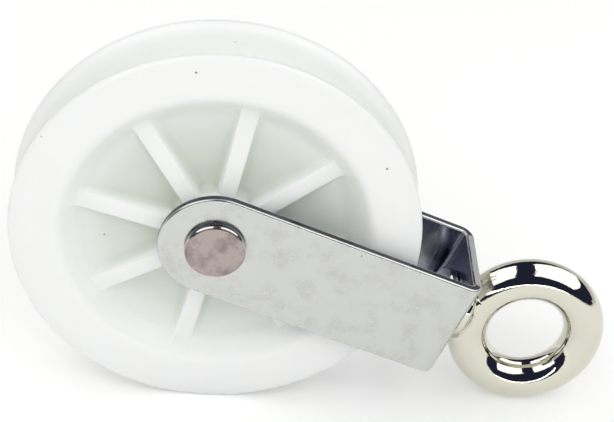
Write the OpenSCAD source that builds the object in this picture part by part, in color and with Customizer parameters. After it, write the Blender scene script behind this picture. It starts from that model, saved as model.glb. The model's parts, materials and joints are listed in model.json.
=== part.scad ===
// Sailing block: a grooved nylon sheave in a bent stainless strap with a swivel eye.
// The axle lies along Y and the strap leans down towards +X.
// The block stands on the rim of the sheave and on the ring of the eye.

/* [Sheave] */
// Diameter over the flanges
sheave_d = 100; // [92:1:115]
// Width across the rim
rim_w = 18; // [16:0.5:20]
// Diameter at the bottom of the rope groove
groove_d = 82; // [80:0.5:86]
// Radius of the rope groove
groove_r = 5.6; // [4.6:0.1:6]
// Rounding of the outer edge of each flange
flange_round = 0.9; // [0.4:0.1:1.4]
// Diameter of the recess in each face, inside the rim
pocket_d = 76; // [64:1:77]
// How far the recess narrows from the face down to the web
pocket_draft = 5; // [3:0.1:6]
// Fillet between the floor of the recess and its sloping wall
pocket_fillet = 5; // [2:0.1:5.5]
// Rounding of the mouth of the recess
pocket_round = 3.6; // [1:0.1:4]
// Thickness of the web between the two recesses
web_t = 6; // [4:0.5:8]
// Diameter of the hub
hub_d = 21; // [19:0.5:26]
// Fillet round the foot of the hub
hub_fillet = 2; // [0.5:0.1:3]
// Rounding of the edge of each hub face
hub_round = 0.8; // [0.3:0.1:1.5]
// Number of ribs in each recess
rib_count = 8; // [4:1:10]
// Width of a rib at its crest
rib_w = 3.8; // [3:0.1:5]
// Spread of each flank of a rib down to the web
rib_draft = 0.6; // [0.2:0.1:1]
// Fillet along the foot of a rib
rib_fillet = 2; // [0.8:0.1:2.6]
// Height of the sloping crest of a rib over the web, at the hub
rib_high = 5.7; // [3.5:0.1:6]
// Height of the sloping crest of a rib over the web, at the rim
rib_low = 1.2; // [0.6:0.1:3]
// Angle of the first rib above the horizontal
rib_phase = 34.3; // [0:0.1:45]

/* [Strap] */
// Thickness of the strap
strap_t = 2.4; // [1.5:0.1:3.5]
// Width of the strap
strap_w = 27.8; // [24:0.1:34]
// Gap between the two arms
strap_gap = 22.8; // [21:0.1:27]
// Clear distance from the rim of the sheave to the end plate
rope_gap = 13; // [9:0.1:20]
// Inside radius of the two bends
bend_r = 1.2; // [0.6:0.1:3]

/* [Axle] */
// Diameter of the pin
pin_d = 10; // [8:0.5:11]
// Diameter of the front head of the pin
pin_head_d = 14.8; // [13:0.1:18]
// Height of the front head of the pin
pin_head_h = 2.2; // [2:0.1:5]
// Rounding round the face of the front head
pin_head_round = 0.9; // [0.4:0.1:1.6]
// Diameter of the riveted rear head
rivet_d = 13.6; // [12.5:0.1:18]
// Height of the riveted rear head
rivet_h = 2.2; // [1.2:0.1:4]
// Wall of the sleeve that spaces the arms
sleeve_wall = 1.5; // [1:0.1:2.5]

/* [Eye] */
// Diameter of the hole in the ring
ring_hole_d = 19.6; // [14:0.1:24]
// Thickness of the ring
ring_t = 10.4; // [8:0.1:12]
// Gap between the ring and the end plate
ring_gap = 0.6; // [0.4:0.1:3]
// Turn of the ring's front face upwards, out of the plane of the sheave
eye_turn = 4.5; // [0:0.5:12]
// Diameter of the foot collar
foot_d = 15.4; // [13:0.1:20]
// Height of the straight part of the foot collar
foot_h = 3.1; // [1.5:0.1:4]
// Rounding of the shoulder of the foot collar
foot_round = 1; // [0.5:0.1:1.4]
// Diameter of the shank
shank_d = 8; // [6:0.1:9]
// Diameter of the inner washer
washer_d = 16; // [13:0.1:20]
// Thickness of the inner washer
washer_t = 2.4; // [1.5:0.1:3]
// Rounding of the edges of the inner washer
washer_round = 0.4; // [0.1:0.1:0.7]
// Diameter of the peened end of the shank
peen_d = 11; // [9.8:0.1:12.5]
// Height of the peened end of the shank
peen_h = 2.2; // [1.2:0.1:2.8]

/* [Fits] */
// Radial clearance of the sheave on its sleeve
sheave_fit = 0.06; // [0.02:0.01:0.1]
// Gap between each hub face and its arm
hub_gap = 0.3; // [0.2:0.05:0.6]
// Radial clearance of the pin in the sleeve and the arms
pin_fit = 0.05; // [0.02:0.01:0.1]
// Radial clearance of the shank in the end plate
shank_fit = 0.08; // [0.02:0.01:0.1]
// Radial clearance of the shank in the inner washer
washer_fit = 0.05; // [0.02:0.01:0.1]
// End play of the eye on each side of the end plate
eye_play = 0.25; // [0.15:0.05:0.5]

/* [Hidden] */
$fn = 96;
// How far a cut runs past the surface it opens
over = 1;
// How far a fillet dips into its two walls, so that it crosses them and does not only touch
bite = 0.03;

sheave_r = sheave_d / 2;
pocket_r = pocket_d / 2;
hub_r = hub_d / 2;
hub_w = strap_gap - 2 * hub_gap;
mouth_round = rim_w / 2 - groove_r - flange_round;
pocket_depth = (rim_w - web_t) / 2;
floor_r = pocket_r - pocket_draft;
sleeve_d = pin_d + 2 * (pin_fit + sleeve_wall);
bore_d = sleeve_d + 2 * sheave_fit;

arm_y = strap_gap / 2 + strap_t;
plate_in = sheave_r + rope_gap;
plate_out = plate_in + strap_t;

ring_out_r = ring_hole_d / 2 + ring_t;
ring_mid_r = (ring_hole_d + ring_t) / 2;
ring_x = plate_out + ring_gap + ring_out_r;
foot_x = plate_out + eye_play;
washer_x = plate_in - eye_play - washer_t;

// How far the turned ring reaches from its centre along a line that makes this
// sine with the plane of the ring.
function ring_reach(sine) = ring_mid_r * sqrt(1 - sine * sine) + ring_t / 2;

straight_lean = asin((sheave_r - ring_out_r) / ring_x);
lean = asin((sheave_r - ring_reach(cos(straight_lean) * sin(eye_turn))) / ring_x);
reach_x = ring_x * cos(lean) + ring_reach(sin(lean) * sin(eye_turn));
middle_x = (reach_x - sheave_r) / 2;
middle_y = (rivet_h - pin_head_h) / 2;

// Puts children drawn about the origin on the axle, with the strap's length along X.
module on_strap() {
    translate([-middle_x, -middle_y, sheave_r]) rotate([0, lean, 0]) children();
}

// Turns a shape drawn about Z onto the axle, with its +Z towards the front.
module on_axle() {
    translate([-middle_x, -middle_y, sheave_r]) rotate([90, 0, 0]) children();
}

// Turns a shape drawn about Z onto the length of the strap.
module along_strap() {
    on_strap() rotate([0, 90, 0]) children();
}

// What a rounding of radius r takes off a corner at the origin that points to +X +Y.
module corner_cut(r) {
    translate([-r, -r]) difference() {
        square(r + over);
        circle(r);
    }
}

// Space between a corner and the circle that blends its two walls, which leave it in the
// directions u and v: a fillet where it is added, a rounding where it is cut away.
module corner_blend(corner, u, v, r) {
    half = acos(u * v) / 2;
    reach = r / tan(half);
    centre = corner + (u + v) / norm(u + v) * (r / sin(half) - bite);
    difference() {
        polygon([corner - (u + v) * r / 4, corner + u * reach, centre, corner + v * reach]);
        translate(centre) circle(r);
    }
}

// Rectangle from the axis out to radius r, from y0 to y1, with its top corner rounded.
module disc_section(r, y0, y1, edge) {
    difference() {
        translate([0, y0]) square([r, y1 - y0]);
        translate([r, y1]) corner_cut(edge);
    }
}

// Low dome of height h on a base of radius r at y = 0.
module dome_section(r, h) {
    ball = (r * r + h * h) / (2 * h);
    intersection() {
        translate([0, h - ball]) circle(ball);
        square([r, h]);
    }
}

// Draws a shape and its mirror image across the X axis.
module both_sides() {
    for (side = [0, 1]) mirror([0, side]) children();
}

// Front half of the sheave's section: hub, web, drafted recess wall and grooved rim.
module sheave_half_section() {
    slope = [pocket_draft, pocket_depth] / norm([pocket_draft, pocket_depth]);
    difference() {
        polygon([
            [0, -over], [0, hub_w / 2], [hub_r, hub_w / 2], [hub_r, web_t / 2], [floor_r, web_t / 2],
            [pocket_r, rim_w / 2], [sheave_r, rim_w / 2], [sheave_r, -over]
        ]);
        translate([hub_r, hub_w / 2]) corner_cut(hub_round);
        translate([groove_d / 2 + groove_r, 0]) circle(groove_r);
        translate([groove_d / 2 + groove_r, -2 * over]) square([sheave_r, groove_r + 2 * over]);
        translate([sheave_r, rim_w / 2]) corner_cut(flange_round);
        translate([sheave_r, groove_r]) mirror([0, 1]) corner_cut(mouth_round);
        corner_blend([pocket_r, rim_w / 2], -slope, [1, 0], pocket_round);
    }
    corner_blend([hub_r, web_t / 2], [1, 0], [0, 1], hub_fillet);
    corner_blend([floor_r, web_t / 2], [-1, 0], slope, pocket_fillet);
}

// Front half of a rib's section at its high end, from inside the web up to the crest.
module rib_half_section() {
    foot = rib_w / 2 + rib_draft;
    slope = [-rib_draft, rib_high] / norm([rib_draft, rib_high]);
    for (side = [0, 1]) mirror([side, 0]) {
        polygon([
            [-over, -over], [foot, -over], [foot, web_t / 2], [foot, web_t / 2] + slope * (rib_high + over),
            [-over, web_t / 2 + rib_high + over]
        ]);
        corner_blend([foot, web_t / 2], [1, 0], slope, rib_fillet);
    }
}

// One rib along X, on both sides of the web, from inside the hub to inside the rim, with
// crests that slope down towards the rim.
module rib() {
    start = hub_r - over;
    end = pocket_r;
    high = web_t / 2 + rib_high;
    low = web_t / 2 + rib_low;
    intersection() {
        translate([start, 0, 0]) rotate([90, 0, 90])
            linear_extrude(end - start) both_sides() rib_half_section();
        rotate([90, 0, 0]) linear_extrude(rib_w + 2 * (rib_draft + rib_fillet + over), center = true)
            polygon([[start, -high], [start, high], [end, low], [end, -low]]);
    }
}

module sheave() {
    color("whitesmoke") on_axle() difference() {
        union() {
            rotate_extrude() both_sides() sheave_half_section();
            for (i = [0:rib_count - 1]) rotate(rib_phase + i * 360 / rib_count) rib();
        }
        cylinder(d = bore_d, h = hub_w + 2 * over, center = true);
    }
}

// The strap's strip on edge: two arms and the end plate, with rounded bends.
module strap_fold() {
    start = -strap_w / 2 - over;
    difference() {
        translate([start, -arm_y]) square([plate_out - start, 2 * arm_y]);
        for (side = [0, 1]) mirror([0, side]) {
            translate([plate_out, arm_y]) corner_cut(bend_r + strap_t);
            difference() {
                translate([start - over, -over]) square([plate_in - start + over, strap_gap / 2 + over]);
                translate([plate_in, strap_gap / 2]) corner_cut(bend_r);
            }
        }
    }
}

// Side outline of an arm: straight edges with a round end about the axle.
module arm_outline() {
    circle(d = strap_w);
    translate([0, -strap_w / 2]) square([plate_out + over, strap_w]);
}

module strap() {
    color("lightgray") on_strap() difference() {
        intersection() {
            linear_extrude(strap_w + 2 * over, center = true) strap_fold();
            rotate([90, 0, 0]) linear_extrude(2 * (arm_y + over), center = true) arm_outline();
        }
        rotate([90, 0, 0]) cylinder(d = pin_d + 2 * pin_fit, h = 2 * (arm_y + over), center = true);
        translate([plate_in - over, 0, 0]) rotate([0, 90, 0])
            cylinder(d = shank_d + 2 * shank_fit, h = strap_t + 2 * over);
    }
}

module axle_sleeve() {
    color("silver") on_axle() difference() {
        cylinder(d = sleeve_d, h = strap_gap, center = true);
        cylinder(d = pin_d + 2 * pin_fit, h = strap_gap + 2 * over, center = true);
    }
}

module axle_pin() {
    color("rosybrown") on_axle() rotate_extrude() {
        translate([0, -arm_y]) square([pin_d / 2, 2 * arm_y]);
        disc_section(pin_head_d / 2, arm_y, arm_y + pin_head_h, pin_head_round);
        translate([0, -arm_y]) mirror([0, 1]) dome_section(rivet_d / 2, rivet_h);
    }
}

module eye() {
    color("gainsboro") {
        on_strap() translate([ring_x, 0, 0]) rotate([90 - eye_turn, 0, 0])
            rotate_extrude() translate([ring_mid_r, 0]) circle(d = ring_t);
        along_strap() rotate_extrude() {
            disc_section(foot_d / 2, foot_x, foot_x + foot_h, foot_round);
            translate([0, washer_x]) square([shank_d / 2, foot_x + foot_h - washer_x]);
            translate([0, washer_x]) mirror([0, 1]) dome_section(peen_d / 2, peen_h);
        }
    }
}

module eye_washer() {
    color("silver") along_strap() difference() {
        rotate_extrude() difference() {
            disc_section(washer_d / 2, washer_x, washer_x + washer_t, washer_round);
            translate([washer_d / 2, washer_x]) mirror([0, 1]) corner_cut(washer_round);
        }
        translate([0, 0, washer_x - over])
            cylinder(d = shank_d + 2 * washer_fit, h = washer_t + 2 * over);
    }
}

sheave();
strap();
axle_sleeve();
axle_pin();
eye();
eye_washer();
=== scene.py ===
"""Looks of a strap block: a ribbed nylon sheave in a bent stainless strap with a polished swivel eye.

Every piece is worked out in millimetres about the axle, then put into the row frame in metres.
"""

import json
import logging
from dataclasses import dataclass
from enum import Enum

import bmesh
import bpy
import numpy as np
from mathutils import Matrix, Vector


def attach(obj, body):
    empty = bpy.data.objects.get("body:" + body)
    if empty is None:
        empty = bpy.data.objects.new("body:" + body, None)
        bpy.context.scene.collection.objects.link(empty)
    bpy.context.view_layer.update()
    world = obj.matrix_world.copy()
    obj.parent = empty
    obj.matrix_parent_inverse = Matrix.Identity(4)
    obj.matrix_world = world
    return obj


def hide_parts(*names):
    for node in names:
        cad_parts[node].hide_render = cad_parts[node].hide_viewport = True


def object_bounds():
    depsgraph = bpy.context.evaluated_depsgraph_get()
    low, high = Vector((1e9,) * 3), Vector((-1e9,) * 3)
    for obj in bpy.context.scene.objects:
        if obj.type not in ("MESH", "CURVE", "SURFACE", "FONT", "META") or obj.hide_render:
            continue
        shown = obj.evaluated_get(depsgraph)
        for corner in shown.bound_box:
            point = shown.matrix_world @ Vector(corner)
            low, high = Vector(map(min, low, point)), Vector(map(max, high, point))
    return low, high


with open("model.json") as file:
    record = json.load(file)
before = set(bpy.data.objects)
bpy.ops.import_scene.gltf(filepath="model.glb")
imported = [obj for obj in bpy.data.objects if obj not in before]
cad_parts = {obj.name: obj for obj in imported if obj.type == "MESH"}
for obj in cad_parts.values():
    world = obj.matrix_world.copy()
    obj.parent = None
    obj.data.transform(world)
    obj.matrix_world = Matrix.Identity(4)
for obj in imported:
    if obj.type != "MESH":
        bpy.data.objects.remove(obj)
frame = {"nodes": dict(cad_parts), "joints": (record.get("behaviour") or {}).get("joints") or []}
CAD_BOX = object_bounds()

LOG = logging.getLogger("strap_block")
MM = 0.001
IMAGE_WIDTH = 614

Array = np.ndarray
RGB = tuple[float, float, float]
Span = tuple[float, float]
Names = tuple[str, ...]
Material = bpy.types.Material
NodeTree = bpy.types.NodeTree
Object = bpy.types.Object
Socket = bpy.types.NodeSocket

# Shares that the effects and finishes have in common: the largest speck in its cell, how much stains
# and lines dull the metal, the depth of a pit in the lines' height, and the depth of the relief.
SPECK_REACH = 0.3
STAIN_DULLS = 0.6
LINES_DULL = 0.4
PIT_DEPTH = 0.3
RELIEF_DEPTH = 0.2 * MM

# Distances in metres: from a lamp to the front that the metal shows, from the block down to the floor,
# and under which two points are one.
FRONT_GAP = 0.01
FLOOR_GAP = 1e-5
SAME_POINT = 1e-7

# Distance from a sharp edge to the row of points that keeps it sharp, in millimetres.
HOLD = 0.05

# Columns over one side of a rib: shares of its half width over the crest with shares of its height
# there, then shares of its height down the flank.
CREST_ASIDE = np.array([0.0, 0.6, 0.84, 0.95])
CREST_LEVEL = np.array([1.0, 1.0, 1.0, 0.995])
FLANK_LEVEL = np.concatenate([[0.975, 0.93], np.linspace(0.92, 0.0, 10) ** 2])


class Slot(Enum):
    """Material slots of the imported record."""

    NYLON = "nylon"
    STRAP = "strap_steel"
    TURNED = "turned_steel"
    PIN = "pin_steel"
    POLISHED = "polished_steel"


class Body(Enum):
    """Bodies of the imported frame."""

    STRAP = "strap"
    SHEAVE = "sheave"
    EYE = "eye"


def joint(name: str) -> dict:
    """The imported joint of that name."""
    return next(j for j in frame["joints"] if j["name"] == name)


AXLE = np.array(joint("sheave_spin")["pos_m"])
ARM = np.array(joint("eye_swivel")["axis"])
FRONT = np.array([0.0, -1.0, 0.0])
ACROSS = np.array([-ARM[2], 0.0, ARM[0]])
LEAN = float(np.arctan2(-ARM[2], ARM[0]))


# Curves, grids and shells


def line(start: Span, end: Span, count: int = 2) -> Array:
    """Points evenly spaced on a straight line.

    Args:
        start: First point.
        end: Last point.
        count: Number of points, both ends counted.

    Returns:
        An array of count by 2.
    """
    return np.linspace(start, end, count)


def arc(centre: Span, radius: float, first: float, last: float, count: int) -> Array:
    """Points evenly spaced on an arc: the centre plus the radius times cosine and sine.

    Args:
        centre: Centre of the arc.
        radius: Its radius.
        first: Angle of the first point, in degrees.
        last: Angle of the last point, in degrees.
        count: Number of points, both ends counted.

    Returns:
        An array of count by 2.
    """
    turn = np.radians(np.linspace(first, last, count))
    return np.array(centre) + radius * np.stack([np.cos(turn), np.sin(turn)], axis=-1)


def dome(radius: float, height: float, base: float, count: int) -> Array:
    """Points on the section of a dome that hangs under its base: an arc of the ball whose radius is the
    sum of the two squares over twice the height.

    Args:
        radius: Radius of the dome at its base.
        height: Height of the dome.
        base: Level of the base.
        count: Number of points, both ends counted.

    Returns:
        An array of count by 2, from the middle of the dome out to its edge.
    """
    ball = (radius**2 + height**2) / (2.0 * height)
    edge = np.degrees(np.arcsin(radius / ball))
    return arc((0.0, base - height + ball), ball, -90.0, edge - 90.0, count)


def full_turn(count: int) -> Array:
    """Angles evenly spaced over a full turn, in radians."""
    return np.linspace(0.0, 2.0 * np.pi, count, endpoint=False)


def chain(*parts: Array) -> Array:
    """Joins point lists end to end and drops each point that repeats the one before it.

    Args:
        parts: Point lists of any length by 2.

    Returns:
        All points by 2.
    """
    points = np.concatenate(parts)
    step = np.linalg.norm(np.diff(points, axis=0), axis=1)
    return points[np.concatenate([[True], step > 1e-6])]


def grid_quads(rows: int, columns: int, close_rows: bool = False, close_columns: bool = False) -> Array:
    """Quads between the neighbours of a grid of points numbered row by row.

    Args:
        rows: Number of rows.
        columns: Number of columns.
        close_rows: Whether the last row joins the first.
        close_columns: Whether the last column joins the first.

    Returns:
        An array of quads by 4 point numbers.
    """
    i, j = np.meshgrid(
        np.arange(rows if close_rows else rows - 1),
        np.arange(columns if close_columns else columns - 1),
        indexing="ij",
    )
    below, right = (i + 1) % rows, (j + 1) % columns
    corners = [i * columns + j, i * columns + right, below * columns + right, below * columns + j]
    return np.stack(corners, axis=-1).reshape(-1, 4)


def smooth_max(a: Array, b: Array, blend: Array | float) -> Array:
    """Larger of two heights, rounded where they cross: half of their sum and of the root of their
    squared difference plus the squared blend."""
    return 0.5 * (a + b + np.sqrt((a - b) ** 2 + np.square(blend)))


def smooth_step(value: Array, low: float, high: float) -> Array:
    """Rise from 0 at low to 1 at high, level at both ends: three squares less two cubes."""
    t = np.clip((value - low) / (high - low), 0.0, 1.0)
    return t * t * (3.0 - 2.0 * t)


@dataclass
class Shell:
    """Points and faces of a piece in the making, in millimetres from the axle.

    Attributes:
        points: Points by 3.
        faces: Lists of point numbers.
    """

    points: Array
    faces: list[list[int]]

    def __add__(self, other: "Shell") -> "Shell":
        """Both shells together."""
        moved = [[n + len(self.points) for n in face] for face in other.faces]
        return Shell(np.concatenate([self.points, other.points]), self.faces + moved)


def sheet(points: Array, close_rows: bool = False, close_columns: bool = False) -> Shell:
    """Shell of a grid of points.

    Args:
        points: Rows by columns by 3.
        close_rows: Whether the last row joins the first.
        close_columns: Whether the last column joins the first.

    Returns:
        The shell.
    """
    rows, columns = points.shape[:2]
    return Shell(points.reshape(-1, 3), grid_quads(rows, columns, close_rows, close_columns).tolist())


def capped(points: Array, first: Array, last: Array) -> Shell:
    """Shell of rings with a pole at each end.

    Args:
        points: Rings by points round each ring by 3.
        first: Pole before the first ring.
        last: Pole after the last ring.

    Returns:
        The closed shell.
    """
    rings, count = points.shape[:2]
    here = np.arange(count)
    after = (here + 1) % count
    start, end, edge = rings * count, rings * count + 1, (rings - 1) * count
    caps = [
        np.stack([np.full(count, start), after, here], axis=-1),
        np.stack([np.full(count, end), edge + here, edge + after], axis=-1),
    ]
    body = grid_quads(rings, count, close_columns=True).tolist()
    return Shell(
        np.concatenate([points.reshape(-1, 3), [first], [last]]),
        body + np.concatenate(caps).tolist(),
    )


def turned(radius: Array, height: Array, count: int, axis: Array, right: Array, up: Array) -> Array:
    """Rings about an axis: the height along the axis plus the radius times cosine and sine of the turn.

    Args:
        radius: Radius of each ring, or of each ring at each turn.
        height: Height of each ring.
        count: Number of points round the axis.
        axis: Direction of the axis.
        right: Direction at turn 0.
        up: Direction at a quarter turn.

    Returns:
        Rings by count by 3.
    """
    turn = full_turn(count)
    spread = np.cos(turn)[:, None] * right + np.sin(turn)[:, None] * up
    wide = np.broadcast_to(np.reshape(radius, (len(height), -1)), (len(height), count))
    return np.asarray(height)[:, None, None] * axis + wide[..., None] * spread


def put(name: str, data: bpy.types.ID) -> Object:
    """Adds an object of that name and data to the scene, at the origin."""
    thing = bpy.data.objects.new(name, data)
    bpy.context.scene.collection.objects.link(thing)
    return thing


def make_piece(name: str, shell: Shell, body: Body, material: Material) -> Object:
    """Makes a smooth, outward-facing mesh object that rides on its body.

    Args:
        name: Name of the piece.
        shell: Its points and faces, in millimetres from the axle.
        body: CAD body it moves with.
        material: Finish of the piece.

    Returns:
        The object, at the origin.
    """
    mesh = bpy.data.meshes.new(name)
    mesh.from_pydata((shell.points * MM + AXLE).tolist(), [], shell.faces)
    work = bmesh.new()
    work.from_mesh(mesh)
    bmesh.ops.remove_doubles(work, verts=work.verts, dist=SAME_POINT)
    bmesh.ops.recalc_face_normals(work, faces=work.faces)
    work.to_mesh(mesh)
    work.free()
    mesh.polygons.foreach_set("use_smooth", np.ones(len(mesh.polygons), dtype=bool))
    mesh.materials.append(material)
    piece = put(name, mesh)
    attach(piece, body.value)
    LOG.info("%s: %d points, %d faces, on %s", name, len(mesh.vertices), len(mesh.polygons), body.value)
    return piece


def face_places(piece: Object) -> Array:
    """Middles of the faces of a piece.

    Args:
        piece: The piece, as made by make_piece.

    Returns:
        Faces by 3, in millimetres from the axle.
    """
    middles = np.empty(3 * len(piece.data.polygons))
    piece.data.polygons.foreach_get("center", middles)
    return (middles.reshape(-1, 3) - AXLE) / MM


# Finishes


class Nodes:
    """Short way to add and link the nodes of one tree."""

    def __init__(self, tree: NodeTree) -> None:
        """Keeps the tree and clears it."""
        self.tree = tree
        tree.nodes.clear()

    def add(self, kind: str, inputs: dict | None = None, **settings: object) -> bpy.types.Node:
        """Adds a node.

        Args:
            kind: Node type, without the ShaderNode prefix that most have.
            inputs: Value or output socket for each input, by name or number.
            settings: Properties of the node.

        Returns:
            The node.
        """
        node = self.tree.nodes.new(kind if kind.startswith("NodeGroup") else "ShaderNode" + kind)
        for key, value in settings.items():
            setattr(node, key, value)
        for key, value in (inputs or {}).items():
            if isinstance(value, Socket):
                self.tree.links.new(value, node.inputs[key])
            else:
                node.inputs[key].default_value = value
        return node

    def show(self, shader: bpy.types.Node, output: str = "OutputMaterial") -> None:
        """Links a shader to an output of that kind."""
        self.add(output, {"Surface": shader.outputs[0]})

    def ramp(self, value: Socket, low: float, high: float, first: float = 0.0, last: float = 1.0) -> Socket:
        """Smooth change from first, where the value is low, to last, where it is high."""
        ends = {"Value": value, "From Min": low, "From Max": high, "To Min": first, "To Max": last}
        return self.add("MapRange", ends, interpolation_type="SMOOTHSTEP").outputs["Result"]

    def math(self, operation: str, a: object, b: object) -> Socket:
        """Sum, product or other result of two values."""
        return self.add("Math", {0: a, 1: b}, operation=operation).outputs[0]

    def mix(self, factor: object, a: object, b: object) -> Socket:
        """Colour between a and b."""
        return self.add("Mix", {0: factor, 6: a, 7: b}, data_type="RGBA").outputs[2]


def colour(rgb: RGB) -> tuple[float, float, float, float]:
    """Opaque colour of linear red, green and blue."""
    return (*rgb, 1.0)


def new_material(name: str) -> tuple[Material, Nodes]:
    """Starts a material.

    Args:
        name: Name of the material.

    Returns:
        The material and the nodes of its empty tree.
    """
    material = bpy.data.materials.new(name)
    material.use_nodes = True
    return material, Nodes(material.node_tree)


def new_group(name: str, vectors: Names, values: Names, outputs: Names) -> Nodes:
    """Starts a shader node group.

    Args:
        name: Name of the group.
        vectors: Names of its vector inputs.
        values: Names of its number inputs.
        outputs: Names of its number outputs.

    Returns:
        The nodes of the group's empty tree.
    """
    tree = bpy.data.node_groups.new(name, "ShaderNodeTree")
    for label in vectors:
        tree.interface.new_socket(label, in_out="INPUT", socket_type="NodeSocketVector")
    for label in values:
        tree.interface.new_socket(label, in_out="INPUT", socket_type="NodeSocketFloat")
    for label in outputs:
        tree.interface.new_socket(label, in_out="OUTPUT", socket_type="NodeSocketFloat")
    return Nodes(tree)


def marks_group() -> NodeTree:
    """Group of the marks that handling leaves: broad stains, small dark specks and fine grain.

    Returns:
        The group's tree.
    """
    nodes = new_group(
        "handling_marks",
        ("Position",),
        ("Stain Scale", "Speck Scale", "Speck Share", "Grain Scale"),
        ("Stain", "Speck", "Grain"),
    )
    given = nodes.add("NodeGroupInput").outputs
    place = given["Position"]
    stain = nodes.add(
        "TexNoise",
        {"Vector": place, "Scale": given["Stain Scale"], "Detail": 6.0, "Roughness": 0.62},
    )
    cells = nodes.add("TexVoronoi", {"Vector": place, "Scale": given["Speck Scale"]})
    pick = nodes.add("SeparateColor", {"Color": cells.outputs["Color"]})
    chosen = nodes.math("LESS_THAN", pick.outputs[0], given["Speck Share"])
    reach = nodes.math("MULTIPLY", pick.outputs[1], SPECK_REACH)
    spot = nodes.math("LESS_THAN", cells.outputs["Distance"], reach)
    grain = nodes.add("TexNoise", {"Vector": place, "Scale": given["Grain Scale"], "Detail": 3.0})
    marks = {
        "Stain": nodes.ramp(stain.outputs[0], low=0.44, high=0.70),
        "Speck": nodes.math("MULTIPLY", chosen, spot),
        "Grain": grain.outputs[0],
    }
    nodes.add("NodeGroupOutput", marks)
    return nodes.tree


def lines_group() -> NodeTree:
    """Group of the fine lines that rolling or turning leaves: noise drawn out along one direction.

    Returns:
        The group's tree.
    """
    nodes = new_group("drawn_lines", ("Position", "Turn", "Stretch"), (), ("Lines",))
    given = nodes.add("NodeGroupInput").outputs
    place = nodes.add(
        "Mapping",
        {"Vector": given["Position"], "Rotation": given["Turn"], "Scale": given["Stretch"]},
    )
    noise = nodes.add(
        "TexNoise",
        {"Vector": place.outputs[0], "Scale": 1.0, "Detail": 4.0, "Roughness": 0.55},
    )
    nodes.add("NodeGroupOutput", {"Lines": noise.outputs[0]})
    return nodes.tree


@dataclass(frozen=True)
class Effects:
    """Node groups that the finishes share.

    Attributes:
        marks: Handling marks.
        lines: Drawn lines.
    """

    marks: NodeTree
    lines: NodeTree


@dataclass(frozen=True)
class Nylon:
    """Moulded natural nylon: pale and faintly green, a little see-through, with painted shade that darkens
    the recesses and the floor next to the hub.

    Attributes:
        face: Colour of the faces.
        recess_shade_colour: Painted shade at the floor of the recesses.
        hub_shade_colour: Painted shade, darker and more olive, on the floor next to the hub.
        stain: Colour of thin warm stains.
        speck: Colour of the specks of dirt.
        stain_share: How much the stains tint the skin.
        hub_share: How strongly the painted shade darkens the floor next to the hub.
        speck_share: How much the specks tint the skin.
        roughness: Roughness of the clean and of the stained skin.
    """

    face: RGB = (0.91, 0.925, 0.905)
    # Painted shade: the recesses and the floor next to the hub are darker and more olive than the face.
    recess_shade_colour: RGB = (0.725, 0.76, 0.715)
    hub_shade_colour: RGB = (0.72, 0.72, 0.63)
    stain: RGB = (0.90, 0.90, 0.85)
    speck: RGB = (0.16, 0.15, 0.14)
    stain_share: float = 0.4
    hub_share: float = 0.6
    speck_share: float = 0.8
    roughness: Span = (0.40, 0.52)

    def build(self, effects: Effects) -> Material:
        """Makes the material.

        Args:
            effects: Node groups that the finishes share.

        Returns:
            The material.
        """
        material, nodes = new_material("moulded_nylon")
        sizes = {"Stain Scale": 26.0, "Speck Scale": 800.0, "Speck Share": 0.006, "Grain Scale": 2400.0}
        place = nodes.add("TexCoord").outputs["Object"]
        marks = nodes.add("Group", {"Position": place, **sizes}, node_tree=effects.marks).outputs
        # Painted shade, from shares that the sheave gives each point: darker towards the floor of the
        # recesses and next to the hub.
        recess = nodes.add("Attribute", attribute_name="recess").outputs["Fac"]
        painted_hub_shade = nodes.add("Attribute", attribute_name="painted_hub_shade").outputs["Fac"]
        stain = nodes.math("MULTIPLY", marks["Stain"], self.stain_share)
        # How strongly the painted shade darkens the floor next to the hub.
        tint = nodes.math("MULTIPLY", painted_hub_shade, self.hub_share)
        speck = nodes.math("MULTIPLY", marks["Speck"], self.speck_share)
        stained = nodes.mix(stain, colour(self.face), colour(self.stain))
        # Painted shade in the recesses, then painted shade next to the hub.
        shaded = nodes.mix(recess, stained, colour(self.recess_shade_colour))
        warm = nodes.mix(tint, shaded, colour(self.hub_shade_colour))
        dirty = nodes.mix(speck, warm, colour(self.speck))
        bump = nodes.add("Bump", {"Height": marks["Grain"], "Strength": 0.06, "Distance": RELIEF_DEPTH})
        shader = nodes.add(
            "BsdfPrincipled",
            {
                "Base Color": dirty,
                "Roughness": nodes.ramp(marks["Stain"], 0.0, 1.0, *self.roughness),
                "Normal": bump.outputs[0],
                "IOR": 1.53,
                "Subsurface Weight": 0.7,
                "Subsurface Radius": (1.0, 1.0, 0.85),
                "Subsurface Scale": 0.0055,
            },
        )
        nodes.show(shader)
        return material


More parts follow.
